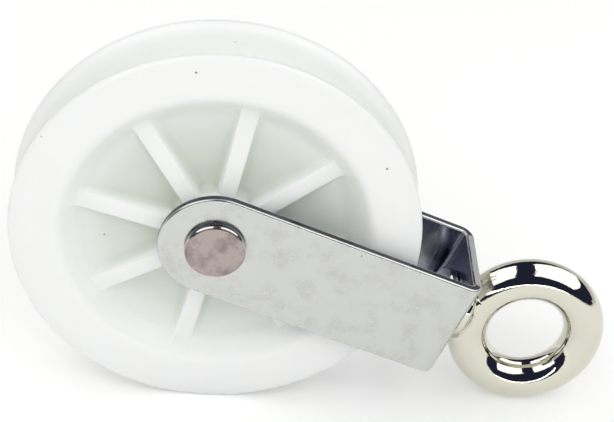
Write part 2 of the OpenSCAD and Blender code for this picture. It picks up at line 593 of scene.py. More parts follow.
@dataclass(frozen=True)
class Steel:
    """Bare stainless steel.

    Attributes:
        name: Name of the finish.
        clean: Colour of clean metal.
        stain: Colour of stained metal.
        speck: Colour of specks.
        scales: Scales of stains, specks and grain.
        roughness: Roughness of the clean and of the stained metal.
        stretch: Scale of the drawn lines along, through and across the piece.
        stain_share: How much the stains tint the metal.
        speck_share: Share of the surface's cells that hold a speck.
        turn: Turn of the drawn lines about the axle.
        relief: Strength of the drawn lines.
    """

    name: str
    clean: RGB
    stain: RGB
    speck: RGB
    scales: tuple[float, float, float]
    roughness: Span
    stretch: tuple[float, float, float]
    stain_share: float = 0.5
    speck_share: float = 0.01
    turn: float = LEAN
    relief: float = 0.05

    def build(self, effects: Effects) -> Material:
        """Makes the material.

        Args:
            effects: Node groups that the finishes share.

        Returns:
            The material.
        """
        material, nodes = new_material(self.name)
        sizes = dict(zip(("Stain Scale", "Speck Scale", "Grain Scale"), self.scales))
        place = nodes.add("TexCoord").outputs["Object"]
        marks = nodes.add(
            "Group",
            {"Position": place, "Speck Share": self.speck_share, **sizes},
            node_tree=effects.marks,
        ).outputs
        drawn = nodes.add(
            "Group",
            {"Position": place, "Turn": (0.0, self.turn, 0.0), "Stretch": self.stretch},
            node_tree=effects.lines,
        ).outputs["Lines"]
        tint = nodes.math("MULTIPLY", marks["Stain"], self.stain_share)
        stained = nodes.mix(tint, colour(self.clean), colour(self.stain))
        dirty = nodes.mix(marks["Speck"], stained, colour(self.speck))
        dull = nodes.math("MULTIPLY", marks["Stain"], STAIN_DULLS)
        uneven = nodes.math("ADD", dull, nodes.math("MULTIPLY", drawn, LINES_DULL))
        pits = nodes.math("MULTIPLY", marks["Speck"], PIT_DEPTH)
        height = nodes.math("SUBTRACT", drawn, pits)
        bump = nodes.add("Bump", {"Height": height, "Strength": self.relief, "Distance": RELIEF_DEPTH})
        shader = nodes.add(
            "BsdfPrincipled",
            {
                "Base Color": dirty,
                "Metallic": 1.0,
                "Roughness": nodes.ramp(uneven, 0.0, 1.0, *self.roughness),
                "Normal": bump.outputs[0],
            },
        )
        nodes.show(shader)
        return material


STRAP_STEEL = Steel(
    name="rolled_stainless",
    clean=(0.605, 0.615, 0.595),
    stain=(0.51, 0.50, 0.47),
    stain_share=0.55,
    speck=(0.16, 0.15, 0.15),
    speck_share=0.03,
    scales=(150.0, 620.0, 1500.0),
    roughness=(0.20, 0.34),
    stretch=(90.0, 900.0, 1400.0),
)
# Painted shade and reflection: darker, bluish steel for the strap's inner faces, standing in for the shadow
# between the arms and the dark room they reflect.
INSIDE_SHADE_STEEL = Steel(
    name="painted_shade_inside_stainless",
    clean=(0.40, 0.41, 0.50),
    stain=(0.20, 0.20, 0.27),
    stain_share=0.6,
    speck=(0.03, 0.03, 0.03),
    scales=(90.0, 420.0, 1500.0),
    roughness=(0.14, 0.28),
    stretch=(90.0, 900.0, 1400.0),
)
# Painted dark reflection: near-black steel for the cut faces of the strap's arms and the side of the pin's
# head, where the metal shows the dark room.
DARK_REFLECTION_STEEL = Steel(
    name="painted_dark_reflection_stainless",
    clean=(0.09, 0.09, 0.11),
    stain=(0.05, 0.05, 0.06),
    speck=(0.05, 0.05, 0.05),
    scales=(120.0, 500.0, 1500.0),
    roughness=(0.08, 0.16),
    stretch=(90.0, 900.0, 900.0),
    relief=0.03,
)
PLATE_EDGE_STEEL = Steel(
    name="filed_edge_stainless",
    clean=(0.52, 0.51, 0.52),
    stain=(0.36, 0.35, 0.36),
    speck=(0.10, 0.10, 0.10),
    scales=(160.0, 500.0, 1500.0),
    roughness=(0.44, 0.60),
    stretch=(900.0, 120.0, 900.0),
)
PIN_STEEL = Steel(
    name="worn_pin_stainless",
    clean=(0.425, 0.36, 0.34),
    stain=(0.225, 0.185, 0.18),
    stain_share=0.75,
    speck=(0.06, 0.05, 0.06),
    speck_share=0.10,
    scales=(230.0, 800.0, 1800.0),
    roughness=(0.22, 0.42),
    stretch=(1500.0, 1500.0, 160.0),
    turn=0.0,
    relief=0.08,
)
TURNED_STEEL = Steel(
    name="turned_stainless",
    clean=(0.66, 0.66, 0.65),
    stain=(0.50, 0.49, 0.48),
    speck=(0.08, 0.08, 0.08),
    scales=(120.0, 600.0, 1500.0),
    roughness=(0.09, 0.20),
    stretch=(900.0, 900.0, 900.0),
    turn=0.0,
    relief=0.04,
)
# Polished steel of the eye: its pale colour is the metal's own, and its yellow cast is painted reflection of
# a beige backdrop.
POLISHED_STEEL = Steel(
    name="polished_stainless",
    clean=(0.69, 0.68, 0.585),
    stain=(0.60, 0.58, 0.50),
    stain_share=0.35,
    speck=(0.12, 0.11, 0.10),
    speck_share=0.004,
    scales=(80.0, 500.0, 1500.0),
    roughness=(0.04, 0.09),
    stretch=(300.0, 300.0, 300.0),
    turn=0.0,
    relief=0.25,
)


# Pieces


@dataclass
class Sheave:
    """Nylon sheave: hub, web, sloping ribs in dished faces and a rim with a rope groove.

    Attributes:
        radius: Radius over the flanges.
        half_rim: Half of the width across the rim.
        groove_bottom: Radius at the bottom of the groove.
        groove_radius: Radius of the groove itself.
        flange_round: Rounding of the outer edge of a flange.
        recess_radius: Radius of the recess at the face.
        recess_draft: How far the recess narrows down to the web.
        recess_fillet: Fillet between the floor of the recess and its wall.
        recess_round: Rounding of the mouth of the recess.
        half_web: Half of the thickness of the web.
        hub_radius: Radius of the hub.
        half_hub: Half of the length of the hub.
        hub_round: Rounding of the edge of a hub face.
        hub_draft: Draft of the side of the hub.
        hub_fillet: Fillet round the foot of the hub.
        bore_radius: Radius of the bore.
        bore_chamfer: Chamfer at each end of the bore.
        hub_row: Distance from the edges of a hub face to the rows of points next to them.
        rim_rows: Distances from the inner and outer roundings of a flange to the rows next to them.
        ribs: Number of ribs in each face.
        rib_phase: Angle of the first rib, in degrees.
        half_rib: Half of the width of a rib at its crest.
        rib_draft: Spread of each flank of a rib down to the web.
        rib_fillet: Fillet along the feet of the ribs.
        rib_high: Height of a crest over the web where the rib starts, inside the hub.
        rib_low: Height of a crest over the web at the mouth of the recess.
        rib_inset: How far inside the hub a rib starts.
        rib_blend: Blend between the ribs and the walls they meet.
        blend_starts: Heights of the wall over the web between which the blend begins.
        blend_ends: Heights of the wall over the crest between which the blend ends.
        deep_height: Height over the web at which the painted shade of the floor ends.
        deep_radius: Radius from which that shade fades out towards the rim.
        hub_shade: Radii between which the painted shade next to the hub fades out.
        between: Number of columns of points between two ribs.
    """

    radius: float = 50.0
    half_rim: float = 9.0
    groove_bottom: float = 41.0
    groove_radius: float = 5.6
    flange_round: float = 0.9
    recess_radius: float = 38.0
    recess_draft: float = 5.0
    recess_fillet: float = 5.0
    recess_round: float = 3.6
    half_web: float = 3.0
    hub_radius: float = 10.5
    half_hub: float = 11.1
    hub_round: float = 0.8
    hub_draft: float = 0.1
    hub_fillet: float = 2.0
    bore_radius: float = 6.61
    bore_chamfer: float = 0.4
    hub_row: float = 0.1
    rim_rows: Span = (0.3, 0.15)
    ribs: int = 8
    rib_phase: float = 34.3
    half_rib: float = 1.9
    rib_draft: float = 0.6
    rib_fillet: float = 2.0
    rib_high: float = 5.7
    rib_low: float = 1.2
    rib_inset: float = 1.0
    rib_blend: float = 0.9
    blend_starts: Span = (0.2, 1.0)
    blend_ends: Span = (-0.3, 1.5)
    deep_height: float = 3.4
    deep_radius: float = 24.0
    hub_shade: Span = (14.0, 25.0)
    between: int = 11

    def half_profile(self) -> Array:
        """Front half of the section: straight lines joined by the arcs of its roundings and fillets.

        Returns:
            Points by radius and height, from the bore to the bottom of the groove.
        """
        bore, chamfer, row, rim_rows = self.bore_radius, self.bore_chamfer, self.hub_row, self.rim_rows
        hub, r = self.hub_radius + self.hub_draft, self.hub_fillet
        corner = self.hub_radius - self.hub_round
        wall = np.degrees(np.arctan2(self.recess_draft, self.half_rim - self.half_web))
        bend = np.tan(np.radians(90.0 - wall) / 2.0)
        inner = self.recess_radius - self.recess_draft - self.recess_fillet * bend
        lip = self.recess_radius + self.recess_round * bend
        mouth = self.half_rim - self.groove_radius - self.flange_round
        shoulder = self.radius - self.flange_round
        groove = self.groove_bottom + self.groove_radius
        return chain(
            line((bore, self.half_hub - chamfer), (bore + chamfer, self.half_hub)),
            line((bore + chamfer + row, self.half_hub), (corner - row, self.half_hub), 3),
            arc((corner, self.half_hub - self.hub_round), self.hub_round, 90.0, 0.0, 6),
            line((self.hub_radius, self.half_hub - self.hub_round), (hub, self.half_web + r), 9),
            arc((hub + r, self.half_web + r), r, 180.0, 270.0, 9),
            line((hub + r, self.half_web), (inner, self.half_web), 22),
            arc((inner, self.half_web + self.recess_fillet), self.recess_fillet, 270.0, 360.0 - wall, 13),
            arc((lip, self.half_rim - self.recess_round), self.recess_round, 180.0 - wall, 90.0, 13),
            line((lip + rim_rows[0], self.half_rim), (shoulder - rim_rows[1], self.half_rim), 8),
            arc((shoulder, self.half_rim - self.flange_round), self.flange_round, 90.0, 0.0, 9),
            arc((self.radius - mouth, self.groove_radius + mouth), mouth, 0.0, -90.0, 10),
            arc((groove, 0.0), self.groove_radius, 90.0, 180.0, 15),
        )

    def crest(self, radius: Array) -> Array:
        """Height of the crests over the web: an even fall from inside the hub to the mouth of the recess.

        Args:
            radius: Distances from the axle.

        Returns:
            Heights, as many as radii.
        """
        start = self.hub_radius - self.rib_inset
        way = np.clip((radius - start) / (self.recess_radius - start), 0.0, 1.0)
        return self.rib_high + (self.rib_low - self.rib_high) * way

    def half_width(self, height: Array) -> Array:
        """Distance from the middle of a rib to its flank: the drafted flank, and below it the arc of the
        fillet.

        Args:
            height: Heights over the web.

        Returns:
            Distances, as many as heights.
        """
        lean = np.arctan2(self.rib_draft, self.rib_high)
        foot = self.half_rib + self.rib_draft
        reach = self.rib_fillet / np.tan((np.pi / 2.0 + lean) / 2.0)
        below = self.rib_fillet - np.minimum(height, self.rib_fillet)
        fillet = foot + reach - np.sqrt(self.rib_fillet**2 - below**2)
        return np.where(height > reach * np.cos(lean), foot - np.tan(lean) * height, fillet)

    def rib_columns(self, radius: Array) -> tuple[Array, Array]:
        """Columns of points over one side of a rib, from the middle of its crest to the end of its foot.

        Args:
            radius: Radius of each row.

        Returns:
            Two arrays of rows by columns: distances from the rib's middle and heights over the web.
        """
        crest = self.crest(radius)[:, None]
        flank = crest * FLANK_LEVEL
        aside = np.concatenate([self.half_width(crest) * CREST_ASIDE, self.half_width(flank)], axis=1)
        return aside, np.concatenate([crest * CREST_LEVEL, flank], axis=1)

    def columns(self, radius: Array) -> tuple[Array, Array]:
        """Angle of every point, and the height over the web of the rib there.

        Near a rib the columns keep their distance from its middle, so the angle is the rib's own plus
        the arcsine of distance over radius; between ribs they share out the angle that is left.

        Args:
            radius: Radius of each row.

        Returns:
            Two arrays of rows by columns: angles in radians and heights, below the web between ribs.
        """
        aside, rise = self.rib_columns(radius)
        pitch = 2.0 * np.pi / self.ribs
        reach = np.maximum(radius, self.hub_radius + self.hub_fillet)[:, None]
        near = np.arcsin(np.concatenate([-aside[:, :0:-1], aside], axis=1) / reach)
        gap = np.linspace(0.0, 1.0, self.between + 2)[1:-1]
        far = near[:, -1:] + gap * (pitch + near[:, :1] - near[:, -1:])
        sector = np.concatenate([near, far], axis=1)
        height = np.concatenate([rise[:, :0:-1], rise, np.full_like(far, -self.half_web)], axis=1)
        first = np.radians(self.rib_phase) + pitch * np.arange(self.ribs)
        angle = (first[None, :, None] + sector[:, None, :]).reshape(len(radius), -1)
        return angle, np.tile(height, self.ribs)

    def surface(self) -> tuple[Array, Array, Array]:
        """Points of the whole sheave and two shares of painted shade for its finish.

        The height of a point is the larger of the turned section's height and the rib's height,
        rounded where the rib meets the hub and the rim.

        Returns:
            Rows by columns by 3; the painted shade of the recesses, from 0 on the face to 1 on the web;
            and that painted shade again where the point lies near the hub, from 0 to 1.
        """
        half = self.half_profile()
        radius, base = half[:, 0], half[:, 1]
        angle, rise = self.columns(radius)
        wall, rib = base[:, None], self.half_web + rise
        over = wall - self.half_web - self.crest(radius)[:, None]
        starts = smooth_step(wall - self.half_web, *self.blend_starts)
        meet = starts * (1.0 - smooth_step(over, *self.blend_ends))
        inside = (radius < self.recess_radius)[:, None]
        height = np.where(inside, smooth_max(wall, rib, self.rib_blend * meet), wall)
        # Painted shade: darker towards the web inside each recess, fading out towards the rim, and again next
        # to the hub.
        low = 1.0 - smooth_step(height - self.half_web, 0.0, self.deep_height)
        fade = 1.0 - smooth_step(radius, self.deep_radius, self.recess_radius)
        painted_recess_shade = np.where(inside, low, 0.0) * fade[:, None]
        painted_hub_shade = painted_recess_shade * (1.0 - smooth_step(radius, *self.hub_shade))[:, None]
        spread = np.stack([radius[:, None] * np.cos(angle), height, radius[:, None] * np.sin(angle)], axis=-1)
        front = spread * np.array([1.0, -1.0, 1.0])
        rear = slice(-2, None, -1)
        return (
            np.concatenate([front, spread[rear]]),
            np.concatenate([painted_recess_shade, painted_recess_shade[rear]]),
            np.concatenate([painted_hub_shade, painted_hub_shade[rear]]),
        )

    def build(self, material: Material) -> None:
        """Makes the sheave and gives each point its shares of painted shade for the finish.

        Args:
            material: Finish of the moulding.
        """
        points, painted_recess_shade, painted_hub_shade = self.surface()
        piece = make_piece("sheave_moulding", sheet(points, True, True), Body.SHEAVE, material)
        # The two shares of painted shade go to the finish as point attributes.
        for name, share in (("recess", painted_recess_shade), ("painted_hub_shade", painted_hub_shade)):
            layer = piece.data.attributes.new(name, "FLOAT", "POINT")
            layer.data.foreach_set("value", share.reshape(-1).astype(np.float32))
        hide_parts("sheave")


@dataclass
class Strap:
    """Strip of stainless plate bent into a U, with round arm ends, a pin hole in each arm and a hole
    for the eye's shank.

    Attributes:
        thickness: Thickness of the plate.
        half_width: Half of the width of the strip.
        half_gap: Half of the gap between the arms.
        plate_in: Distance from the axle to the inner face of the end plate.
        bend: Inside radius of the bends.
        pin_hole: Radius of the pin holes.
        shank_hole: Radius of the shank hole.
        bend_rows: Distances from a bend to the rows of points before and after it.
        edge_round: Rounding of the edges.
        edge_angle: Angle from which an edge is rounded, in degrees.
        columns: Number of points across the strip.
        plate_columns: Number of points along the end plate.
    """

    thickness: float = 2.4
    half_width: float = 13.9
    half_gap: float = 11.4
    plate_in: float = 63.0
    bend: float = 1.2
    pin_hole: float = 5.05
    shank_hole: float = 4.08
    bend_rows: Span = (0.4, 0.5)
    edge_round: float = 0.55
    edge_angle: float = 50.0
    columns: int = 15
    plate_columns: int = 11

    def fold(self, flat: Array) -> Array:
        """Bends the flat strip: a point keeps its distance across, and its distance from the middle of
        the strip runs along the end plate, round a quarter circle and then back along an arm.

        Args:
            flat: Distance along the strip from the middle of the end plate, front positive, and
                distance across it.

        Returns:
            The points in the row's axes.
        """
        run, across = flat[..., 0], flat[..., 1]
        side, away = np.sign(run), np.abs(run)
        plate = self.half_gap - self.bend
        middle = self.bend + self.thickness / 2.0
        turn = np.clip((away - plate) / middle, 0.0, np.pi / 2.0)
        arm = np.maximum(away - plate - middle * np.pi / 2.0, 0.0)
        along = self.plate_in - self.bend + middle * np.cos(turn) - arm
        front = side * (np.minimum(away, plate) + middle * np.sin(turn))
        return along[..., None] * ARM + front[..., None] * FRONT + across[..., None] * ACROSS

    def quarter(self) -> float:
        """Length of a bend along the middle of the plate: a quarter of a circle."""
        return (self.bend + self.thickness / 2.0) * np.pi / 2.0

    def pin_run(self) -> float:
        """Distance along the strip from the middle of the end plate to the axle."""
        return self.half_gap - self.bend + self.quarter() + self.plate_in - self.bend

    def round_hole(self, centre: float, hole: float, outline: Array, rows: int) -> Array:
        """Patch between a round hole and an outline: each row is a share of the way from the circle,
        in the direction of the outline's point, out to that point.

        Args:
            centre: Place of the hole along the strip.
            hole: Radius of the hole.
            outline: Points of the outline, closed, along and across the strip.
            rows: Number of rows.

        Returns:
            Rows by points by 2.
        """
        away = outline - np.array([centre, 0.0])
        circle = hole * away / np.linalg.norm(away, axis=1, keepdims=True)
        share = np.linspace(0.0, 1.0, rows)[:, None, None]
        return np.array([centre, 0.0]) + circle + share * (away - circle)

    def flat_patches(self) -> list[tuple[Array, bool]]:
        """Patches of the flat strip: the end plate round the shank hole, the two straight lengths with
        their bends, and the two round ends about the pin holes.

        Returns:
            For each patch its points, rows by columns by 2, and whether it closes on itself.
        """
        wide, pin = self.half_width, self.pin_run()
        bend_start = self.half_gap - self.bend
        bend_end = bend_start + self.quarter()
        half_plate = bend_start - self.bend_rows[0]
        plate = chain(
            line((half_plate, -wide), (half_plate, wide), self.columns),
            line((half_plate, wide), (-half_plate, wide), self.plate_columns),
            line((-half_plate, wide), (-half_plate, -wide), self.columns),
            line((-half_plate, -wide), (half_plate, -wide), self.plate_columns),
        )[:-1]
        bent = np.linspace(bend_start, bend_end, 11)
        straight = np.linspace(bend_end + self.bend_rows[1], pin - wide, 14)
        stations = np.concatenate([[half_plate], bent, straight])
        across = np.linspace(-wide, wide, self.columns)
        strip = np.stack(np.meshgrid(stations, across, indexing="ij"), axis=-1)
        end = chain(
            line((pin - wide, -wide), (pin - wide, wide), self.columns),
            line((pin - wide, wide), (pin, wide), 7),
            arc((pin, 0.0), wide, 90.0, -90.0, 41),
            line((pin, -wide), (pin - wide, -wide), 7),
        )[:-1]
        pin_end = self.round_hole(pin, self.pin_hole, end, 7)
        mirror = np.array([-1.0, 1.0])
        return [
            (self.round_hole(0.0, self.shank_hole, plate, 6), True),
            (strip, False),
            (strip * mirror, False),
            (pin_end, True),
            (pin_end * mirror, True),
        ]

    def build(self, outside: Material, inside: Material, dark_reflection_and_filed_edges: list[Material]) -> None:
        """Makes the folded strip, then gives it its thickness and rounds its edges.

        Args:
            outside: Finish of the outer faces.
            inside: Painted shade and reflection for the inner faces: darker, bluish steel.
            dark_reflection_and_filed_edges: Painted dark reflection for the cut faces of the arms, and the
                filed finish of the cut faces of the end plate.
        """
        patches = [sheet(self.fold(patch), close_columns=closed) for patch, closed in self.flat_patches()]
        shell = sum(patches[1:], patches[0])
        piece = make_piece("strap_plate", shell, Body.STRAP, outside)
        # The inner faces get the painted shade and reflection, the arms' cut faces the painted dark
        # reflection.
        for finish in (inside, dark_reflection_and_filed_edges[0], outside, inside, dark_reflection_and_filed_edges[1]):
            piece.data.materials.append(finish)
        on_plate = face_places(piece) @ ARM > self.plate_in + self.thickness / 2.0 - HOLD
        piece.data.polygons.foreach_set("material_index", np.where(on_plate, 3, 0).astype(np.int32))
        solid = piece.modifiers.new("thickness", "SOLIDIFY")
        solid.thickness = self.thickness * MM
        solid.offset = 0.0
        solid.use_even_offset = True
        solid.material_offset = 1
        solid.material_offset_rim = 2
        edge = piece.modifiers.new("edges", "BEVEL")
        edge.width = self.edge_round * MM
        edge.segments = 4
        edge.limit_method = "ANGLE"
        edge.angle_limit = np.radians(self.edge_angle)
        edge.material = 0
        edge.harden_normals = True
        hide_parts("strap")


@dataclass
class AxlePin:
    """Pin with a low crowned front head and a riveted rear end.

    Attributes:
        radius: Radius of the pin.
        arm_face: Distance from the middle of the block to the outer face of an arm.
        head_radius: Radius of the front head.
        head_height: Height of the front head.
        head_round: Rounding round the face of the head.
        crown: How far the face of the head falls from its middle to its rounding.
        rivet_radius: Radius of the riveted end.
        rivet_height: Height of the riveted end.
        worn_to: How far down its rounding the head is worn, as a share of the rounding.
        dark_from: How far down its rounding the painted dark reflection on the side of the head begins, as a
            share too.
        columns: Number of points round the pin.
    """

    radius: float = 5.0
    arm_face: float = 13.8
    head_radius: float = 7.4
    head_height: float = 2.2
    head_round: float = 0.9
    crown: float = 0.15
    rivet_radius: float = 6.8
    rivet_height: float = 2.2
    worn_to: float = 0.35
    dark_from: float = 0.95
    columns: int = 128

    def profile(self) -> Array:
        """Section of the pin: a face that falls as the square of the radius, the arc of its rounding, the
        pin, and the arc of a ball for the riveted end.

        Returns:
            Points by radius and height, from the middle of the front face to that of the riveted end.
        """
        top = self.arm_face + self.head_height
        flat = self.head_radius - self.head_round
        rise = np.linspace(0.0, flat, 12)
        face = np.stack([rise, top - self.crown * (rise / flat) ** 2], axis=-1)
        front, rear = self.arm_face, -self.arm_face
        return chain(
            face,
            arc((flat, top - self.crown - self.head_round), self.head_round, 88.0, 0.0, 10),
            line((self.head_radius, front + HOLD), (self.head_radius - HOLD, front)),
            line((self.radius + HOLD, front), (self.radius, front - HOLD)),
            line((self.radius, rear + HOLD), (self.radius + HOLD, rear)),
            line((self.rivet_radius - HOLD, rear), (self.rivet_radius, rear)),
            dome(self.rivet_radius, self.rivet_height, rear, 20)[::-1],
        )

    def build(self, worn: Material, clean: Material, dark: Material) -> None:
        """Makes the pin along the axle.

        Args:
            worn: Finish of the face of the head.
            clean: Finish of the pin, its riveted end and the rest of the head's rounding.
            dark: Painted dark reflection for the side of the head.
        """
        profile = self.profile()
        right, up = np.array([1.0, 0.0, 0.0]), np.array([0.0, 0.0, 1.0])
        rings = turned(profile[1:-1, 0], profile[1:-1, 1], self.columns, FRONT, right, up)
        shell = capped(rings, profile[0, 1] * FRONT, profile[-1, 1] * FRONT)
        piece = make_piece("axle_pin_head", shell, Body.STRAP, worn)
        piece.data.materials.append(clean)
        piece.data.materials.append(dark)
        height = face_places(piece) @ FRONT - self.arm_face
        shoulder = self.head_height - self.crown
        face = height > shoulder - self.worn_to * self.head_round
        side = (height < shoulder - self.dark_from * self.head_round) & (height > 0.0)
        # The side of the head gets the painted dark reflection.
        finish = np.where(face, 0, np.where(side, 2, 1))
        piece.data.polygons.foreach_set("material_index", finish.astype(np.int32))
        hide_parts("axle_pin")


@dataclass
class Eye:
    """Forged eye: a round ring that flares into a foot collar, a shank and a peened end, with the
    washer under the peened end.

    Attributes:
        ring_middle: Radius of the middle of the ring's bar.
        bar: Radius of the ring's bar.
        ring_place: Distance from the axle to the middle of the ring.
        turn: Turn of the ring's face upwards, in degrees.
        plate_out: Distance from the axle to the outer face of the end plate.
        play: End play of the eye.
        foot_radius: Radius of the foot collar.
        foot_height: Height of the collar.
        foot_round: Rounding of the collar's shoulder.
        foot_chamfer: Chamfer at the foot of the collar.
        flare: Height over which the collar flares into the ring.
        flare_in: How far inside the ring's surface the flare follows it.
        flare_sink: How much further inside it ends.
        shank_radius: Radius of the shank.
        peen_radius: Radius of the peened end.
        peen_height: Height of the peened end.
        washer_place: Distance from the axle to the inner face of the washer.
        washer_radius: Radius of the washer.
        washer_thickness: Thickness of the washer.
        washer_hole: Radius of the washer's hole.
        washer_round: Rounding of the washer's edges.
        columns: Number of points round the foot and the washer.
        ring_columns: Number of points round the ring.
        bar_columns: Number of points round its bar.
        search_to: Distance up to which the ring's surface is looked for.
        search_count: Number of distances tried.
    """

    ring_middle: float = 15.0
    bar: float = 5.2
    ring_place: float = 86.2
    turn: float = 4.5
    plate_out: float = 65.4
    play: float = 0.25
    foot_radius: float = 7.7
    foot_height: float = 3.1
    foot_round: float = 1.0
    foot_chamfer: float = 0.25
    flare: float = 4.0
    flare_in: float = 0.1
    flare_sink: float = 0.3
    shank_radius: float = 4.0
    peen_radius: float = 5.5
    peen_height: float = 2.2
    washer_place: float = 60.35
    washer_radius: float = 8.0
    washer_thickness: float = 2.4
    washer_hole: float = 4.05
    washer_round: float = 0.4
    columns: int = 128
    ring_columns: int = 192
    bar_columns: int = 72
    search_to: float = 12.0
    search_count: int = 601

    def axes(self) -> tuple[Array, Array]:
        """Directions of the ring's face and across the ring."""
        turn = np.radians(self.turn)
        return np.cos(turn) * FRONT + np.sin(turn) * ACROSS, np.cos(turn) * ACROSS - np.sin(turn) * FRONT

    def ring(self) -> Shell:
        """Ring: a circle of the bar's radius carried round a circle in the ring's own plane.

        Returns:
            The closed shell.
        """
        face, across = self.axes()
        place = full_turn(self.ring_columns)[:, None, None]
        around = full_turn(self.bar_columns)[None, :, None]
        outward = np.cos(place) * ARM + np.sin(place) * across
        points = self.ring_place * ARM + (self.ring_middle + self.bar * np.cos(around)) * outward
        return sheet(points + self.bar * np.sin(around) * face, True, True)

    def ring_radius(self, level: Array) -> Array:
        """Distance from the shank's line to the ring's surface.

        Args:
            level: Distances from the axle.

        Returns:
            Levels by columns: the first distance at which a point leaves the bar in each direction, or 0
            where the search ends inside the bar.
        """
        angle = full_turn(self.columns)[None, :, None]
        out = np.linspace(0.0, self.search_to, self.search_count)
        along = (self.ring_place - level)[:, None, None]
        inside = (np.hypot(along, out * np.sin(angle)) - self.ring_middle) ** 2 + (out * np.cos(angle)) ** 2
        return out[np.argmax(inside > self.bar**2, axis=-1)]

    def foot(self) -> Shell:
        """Foot: peened end, shank and collar turned about the shank's line, then a flare whose radius
        goes from the collar's to just inside the ring's surface as the cube of the way left.

        Returns:
            The closed shell.
        """
        base = self.plate_out + self.play
        top = base + self.foot_height
        seat, shank, r = self.washer_place, self.shank_radius, self.foot_round
        turned_part = chain(
            dome(self.peen_radius, self.peen_height, seat, 14)[1:],
            line((self.peen_radius - HOLD, seat), (shank, seat)),
            line((shank, seat + HOLD), (shank, base - HOLD)),
            line((shank + HOLD, base), (self.foot_radius - self.foot_chamfer, base), 4),
            line((self.foot_radius, base + self.foot_chamfer), (self.foot_radius, top - r), 3),
            arc((self.foot_radius - r, top - r), r, 0.0, 80.0, 8),
        )
        way = np.linspace(0.0, 1.0, 16)[1:]
        level = turned_part[-1, 1] + self.flare * way
        surface = self.ring_radius(np.concatenate([turned_part[-1:, 1], level])) - self.flare_in
        collar = turned_part[-1, 0]
        start, follow = np.minimum(surface[0], collar), np.minimum(surface[1:], collar)
        flare = follow - self.flare_sink * way[:, None] + (collar - start) * (1.0 - way[:, None]) ** 3
        radius = np.concatenate([np.repeat(turned_part[:, :1], self.columns, axis=1), flare])
        height = np.concatenate([turned_part[:, 1], level])
        face, across = self.axes()
        rings = turned(radius, height, self.columns, ARM, face, across)
        return capped(rings, (seat - self.peen_height) * ARM, height[-1] * ARM)

    def washer(self) -> Shell:
        """Washer: a rectangle with rounded corners turned about the shank's line.

        Returns:
            The closed shell.
        """
        low, high = self.washer_place, self.washer_place + self.washer_thickness
        hole, r = self.washer_hole, self.washer_round
        corner = self.washer_radius - r
        profile = chain(
            line((hole, high), (hole, low)),
            line((hole + HOLD, low), (corner - HOLD, low), 4),
            arc((corner, low + r), r, -90.0, 0.0, 6),
            arc((corner, high - r), r, 0.0, 90.0, 6),
            line((corner - HOLD, high), (hole + HOLD, high), 4),
        )
        rings = turned(profile[:, 0], profile[:, 1], self.columns, ARM, FRONT, ACROSS)
        return sheet(rings, True, True)

    def build(self, polished: Material, plain: Material) -> None:
        """Makes the eye and its washer.

        Args:
            polished: Finish of the eye.
            plain: Finish of the washer.
        """
        eye = make_piece("swivel_eye", self.ring() + self.foot(), Body.EYE, polished)
        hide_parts("eye")
        washer = make_piece("eye_washer_ring", self.washer(), Body.EYE, plain)
        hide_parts("eye_washer")


# Studio


def stage_mesh(name: str, shell: Shell, material: Material) -> Object:
    """Makes a mesh object that belongs to the stage.

    Args:
        name: Name of the object.
        shell: Its points, in metres, and faces.
        material: Its finish.

    Returns:
        The object.
    """
    mesh = bpy.data.meshes.new(name)
    mesh.from_pydata(shell.points.tolist(), [], shell.faces)
    mesh.materials.append(material)
    thing = put(name, mesh)
    return thing


def shown_in_metal(name: str, shell: Shell, rgb: RGB, strength: float) -> None:
    """Makes a part of the stage with an even glow that only reflections show.

    Args:
        name: Name of the object and of its material.
        shell: Its points, in metres, and faces.
        rgb: Colour of the glow.
        strength: Strength of the glow.
    """
    material, nodes = new_material(name)
    glow = nodes.add("Emission", {"Color": colour(rgb), "Strength": strength})
    nodes.show(glow)
    thing = stage_mesh(name, shell, material)
    thing.visible_camera = thing.visible_diffuse = thing.visible_shadow = False


@dataclass(frozen=True)
class Softbox:
    """Large soft lamp that faces the block; the metal shows its white front, if it has one.

    Attributes:
        name: Name of the lamp.
        place: Place of its middle, in metres from the middle of the block.
        size: Width to the sides and length from front to back, in metres.
        power: Power, in watts.
        front: Strength at which the metal shows the front, or 0 where it shows none.
    """

    name: str
    place: tuple[float, float, float]
    size: Span
    power: float
    front: float

    def build(self, aim: Vector) -> None:
        """Hangs the lamp round the point it lights, with its front just before it.

        Args:
            aim: That point, in metres.
        """
        data = bpy.data.lights.new(self.name, "AREA")
        data.shape = "RECTANGLE"
        data.size, data.size_y = self.size
        data.energy = self.power
        lamp = put(self.name, data)
        away = Vector(self.place).normalized()
        along = (Vector((0.0, 1.0, 0.0)) - away.y * away).normalized()
        turn = Matrix((along.cross(away), along, away)).transposed().to_4x4()
        lamp.matrix_world = Matrix.Translation(aim + Vector(self.place)) @ turn
        lamp.visible_glossy = False
        LOG.info("%s: %.1f W", self.name, self.power)
        if self.front:
            sides = (np.array([-0.5, 0.5]) * side for side in self.size)
            x, y = np.meshgrid(*sides, indexing="ij")
            flat = np.stack([x, y, np.full_like(x, -FRONT_GAP)], axis=-1)
            points = flat @ np.array(turn.to_3x3()).T + np.array(lamp.matrix_world.translation)
            shown_in_metal(self.name + "_front", sheet(points), (1.0, 1.0, 1.0), self.front)


